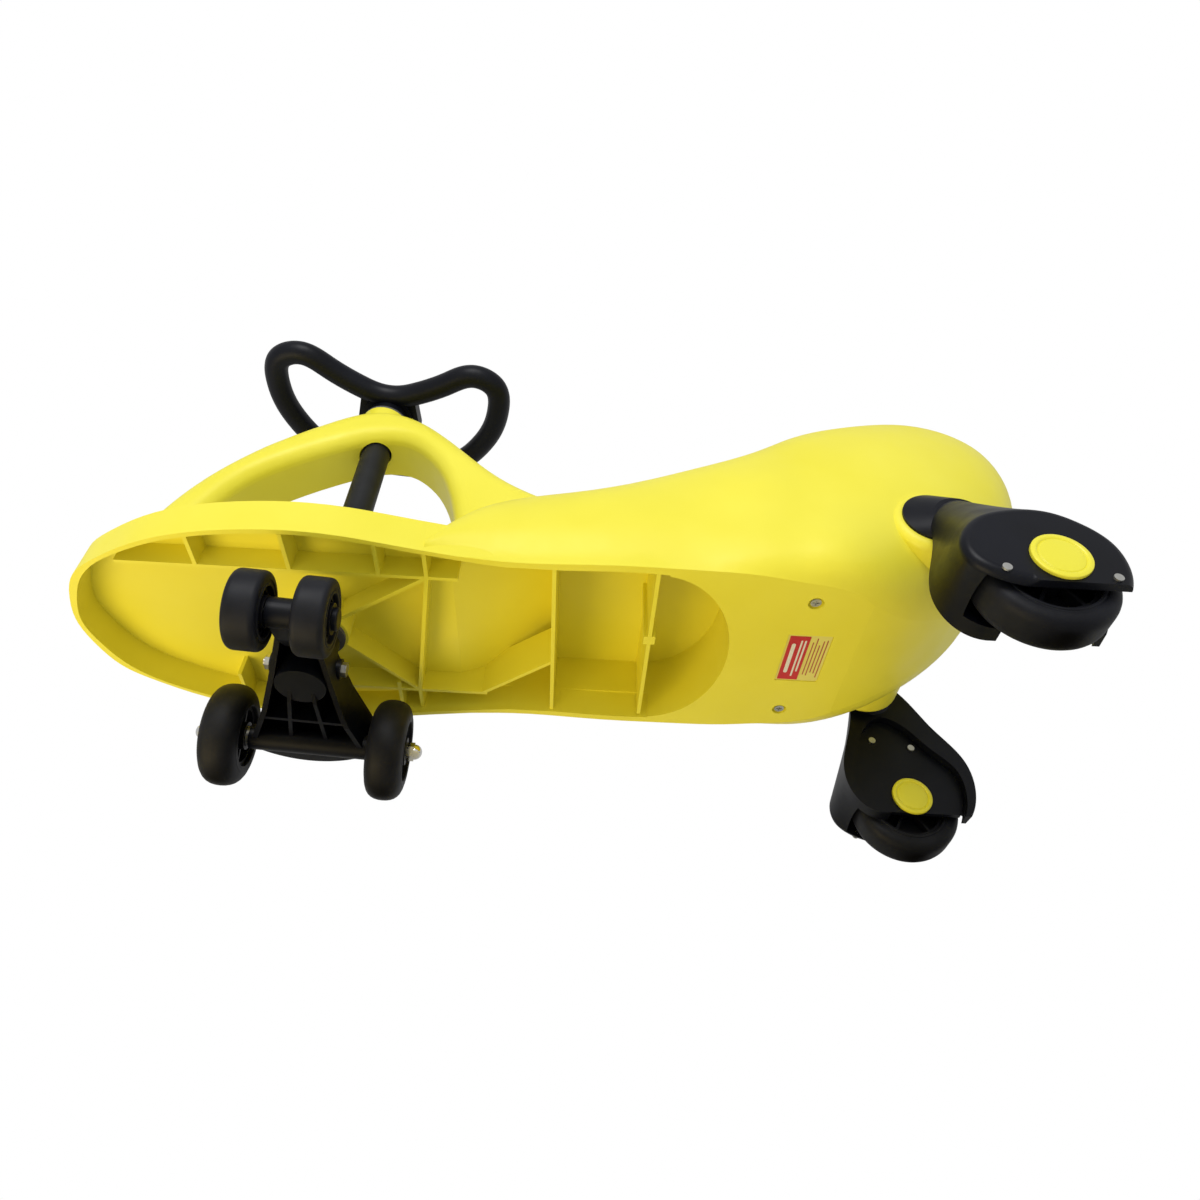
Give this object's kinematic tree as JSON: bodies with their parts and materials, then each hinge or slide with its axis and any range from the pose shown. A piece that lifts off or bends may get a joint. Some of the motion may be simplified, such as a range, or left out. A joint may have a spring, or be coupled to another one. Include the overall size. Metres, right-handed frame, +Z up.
{
  "type": "ride-on swing car",
  "caption": "Low child's swing car: hollow moulded seat with an arched bridge, butterfly steering wheel on a column, steered front truck and fixed rear wheel arms.",
  "frame": {"origin": "on the ground, at the middle of the overall footprint", "axes": "+X toward the nose, +Y to the left of a seated rider, +Z up; the steering rests turned to the left"},
  "size_m": [0.78, 0.3424, 0.404],
  "materials": {
    "body_yellow": "satin",
    "cap_yellow": "satin",
    "moulding_black": "satin",
    "hub_black": "satin",
    "tyre_black": "matte",
    "column_black": "satin",
    "bush_grey": "matte",
    "zinc_steel": "satin",
    "bright_steel": "polished",
    "label_pale": "satin",
    "label_red": "satin"
  },
  "bodies": {
    "car": {"arm_cover_left": "moulding_black", "arm_cover_right": "moulding_black", "arm_screws_left": "zinc_steel", "arm_screws_right": "zinc_steel", "axle_clip_left": "zinc_steel", "axle_clip_right": "zinc_steel", "body_shell": "body_yellow", "care_label": "label_pale", "care_label_band": "label_red", "column_bush_lower": "bush_grey", "column_bush_upper": "bush_grey", "hub_cap_inner_left": "cap_yellow", "hub_cap_inner_right": "cap_yellow", "hub_cap_outer_left": "cap_yellow", "hub_cap_outer_right": "cap_yellow", "rear_arm_left": "moulding_black", "rear_arm_right": "moulding_black", "rear_axle_left": "zinc_steel", "rear_axle_right": "zinc_steel", "underside_screws": "zinc_steel"},
    "steering": {"axle_spacer_left": "zinc_steel", "axle_spacer_right": "zinc_steel", "column_bolt": "zinc_steel", "column_nut": "zinc_steel", "dome_nut_left": "bright_steel", "dome_nut_right": "bright_steel", "front_axle": "zinc_steel", "guide_axle": "zinc_steel", "guide_cap_left": "moulding_black", "guide_cap_right": "moulding_black", "steering_column": "column_black", "steering_wheel": "moulding_black", "truck_bracket": "moulding_black", "wheel_cap": "moulding_black", "wheel_screw": "zinc_steel"},
    "front_wheel_left": {"front_bush_left": "bush_grey", "front_hub_left": "hub_black", "front_tyre_left": "tyre_black"},
    "front_wheel_right": {"front_bush_right": "bush_grey", "front_hub_right": "hub_black", "front_tyre_right": "tyre_black"},
    "guide_wheel_left": {"guide_bush_left": "bush_grey", "guide_hub_left": "hub_black", "guide_tyre_left": "tyre_black"},
    "guide_wheel_right": {"guide_bush_right": "bush_grey", "guide_hub_right": "hub_black", "guide_tyre_right": "tyre_black"},
    "rear_wheel_left": {"rear_bush_left": "bush_grey", "rear_hub_left": "hub_black", "rear_tyre_left": "tyre_black"},
    "rear_wheel_right": {"rear_bush_right": "bush_grey", "rear_hub_right": "hub_black", "rear_tyre_right": "tyre_black"}
  },
  "joints": [
    {"name": "steering_turn", "type": "hinge", "parent": "car", "child": "steering", "pos_m": [0.205, 0, 0.2], "axis": [0, 0, 1], "continuous": true},
    {"name": "front_wheel_left_turn", "type": "hinge", "parent": "steering", "child": "front_wheel_left", "pos_m": [0.14894, -0.07919, 0.04025], "axis": [-0.9962, -0.0872, 0], "continuous": true},
    {"name": "front_wheel_right_turn", "type": "hinge", "parent": "steering", "child": "front_wheel_right", "pos_m": [0.27396, -0.06825, 0.04025], "axis": [-0.9962, -0.0872, 0], "continuous": true},
    {"name": "guide_wheel_left_turn", "type": "hinge", "parent": "steering", "child": "guide_wheel_left", "pos_m": [0.17591, 0.08579, 0.0348], "axis": [-0.9962, -0.0872, 0], "continuous": true},
    {"name": "guide_wheel_right_turn", "type": "hinge", "parent": "steering", "child": "guide_wheel_right", "pos_m": [0.21875, 0.08954, 0.0348], "axis": [-0.9962, -0.0872, 0], "continuous": true},
    {"name": "rear_wheel_left_turn", "type": "hinge", "parent": "car", "child": "rear_wheel_left", "pos_m": [-0.292, 0.142, 0.0445], "axis": [0, 1, 0], "continuous": true},
    {"name": "rear_wheel_right_turn", "type": "hinge", "parent": "car", "child": "rear_wheel_right", "pos_m": [-0.292, -0.142, 0.0445], "axis": [0, 1, 0], "continuous": true}
  ]
}
